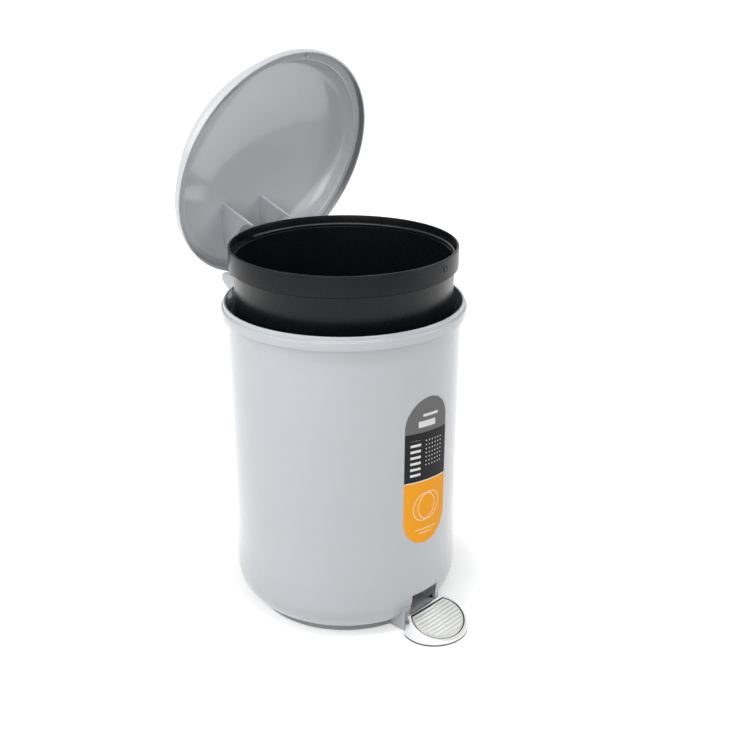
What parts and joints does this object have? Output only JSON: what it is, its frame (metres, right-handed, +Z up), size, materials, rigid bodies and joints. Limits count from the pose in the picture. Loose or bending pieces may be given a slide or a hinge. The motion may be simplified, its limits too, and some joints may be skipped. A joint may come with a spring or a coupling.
{
  "type": "pedal waste bin",
  "caption": "Small round pedal bin with a domed lid hinged at the back, a lift-out bucket with a wire handle, a push rod and a ribbed foot pedal.",
  "frame": {"origin": "middle of the foot pads' contact plane, on the vertical axis of the body", "axes": "+Z up, the pedal towards -Y, the lid's hinge towards +Y, +X to the right when the bin is seen from the pedal's side"},
  "size_m": [0.1701, 0.22, 0.3913],
  "materials": {
    "body_plastic": "glossy light silver grey",
    "lid_plastic": "glossy light silver grey",
    "base_plastic": "satin dark grey",
    "bucket_plastic": "near black, satin",
    "steel": "bare",
    "wire": "bright wire",
    "chrome": "polished",
    "tread_metal": "satin, ribbed",
    "rod_plastic": "natural grey",
    "pad_rubber": "matt",
    "label_film": "printed film in grey, dark grey and orange"
  },
  "bodies": {
    "bin": {"outer_body": "body_plastic", "base_plate": "base_plastic", "foot_pads": "pad_rubber", "base_screws": "steel", "pivot_saddle": "steel", "saddle_rivets": "steel", "lever_pivot_pin": "steel", "pivot_pin_clips": "steel", "hinge_pin": "steel", "hinge_pin_washer": "steel", "rod_guides": "rod_plastic", "front_label": "label_film"},
    "lid": {"lid": "lid_plastic", "lid_link_pin": "steel", "link_pin_clips": "steel"},
    "rod": {"push_rod": "wire", "rod_eye": "rod_plastic", "rod_shoe": "rod_plastic"},
    "pedal": {"pedal_lever": "steel", "pedal_cap": "chrome", "pedal_tread": "tread_metal", "pedal_push_nuts": "steel"},
    "bucket": {"inner_bucket": "bucket_plastic"},
    "handle": {"bail_handle": "wire"}
  },
  "joints": [
    {"name": "lid_hinge", "type": "hinge", "parent": "bin", "child": "lid", "pos_m": [0, 0.0915, 0.2215], "axis": [-1, 0, 0], "range_deg": [-71.5, 0]},
    {"name": "rod_slide", "type": "slide", "parent": "bin", "child": "rod", "axis": [0, 0, 1], "range_m": [-0.01054, 0]},
    {"name": "pedal_hinge", "type": "hinge", "parent": "bin", "child": "pedal", "pos_m": [0, 0, 0.013], "axis": [1, 0, 0], "range_deg": [-7.13, 0]},
    {"name": "bucket_lift", "type": "slide", "parent": "bin", "child": "bucket", "axis": [0, 0, 1], "range_m": [-0.04701, 0]},
    {"name": "handle_hinge", "type": "hinge", "parent": "bucket", "child": "handle", "pos_m": [0, 0, 0.2602], "axis": [0.2164, -0.9763, 0], "range_deg": [0, 10]}
  ],
  "couplings": [
    {"joint": "rod_slide", "follows": "lid_hinge", "m_per_rad": 0.0084273},
    {"joint": "pedal_hinge", "follows": "lid_hinge", "ratio": 0.099517},
    {"joint": "bucket_lift", "follows": "lid_hinge", "m_per_rad": 0.037663}
  ]
}
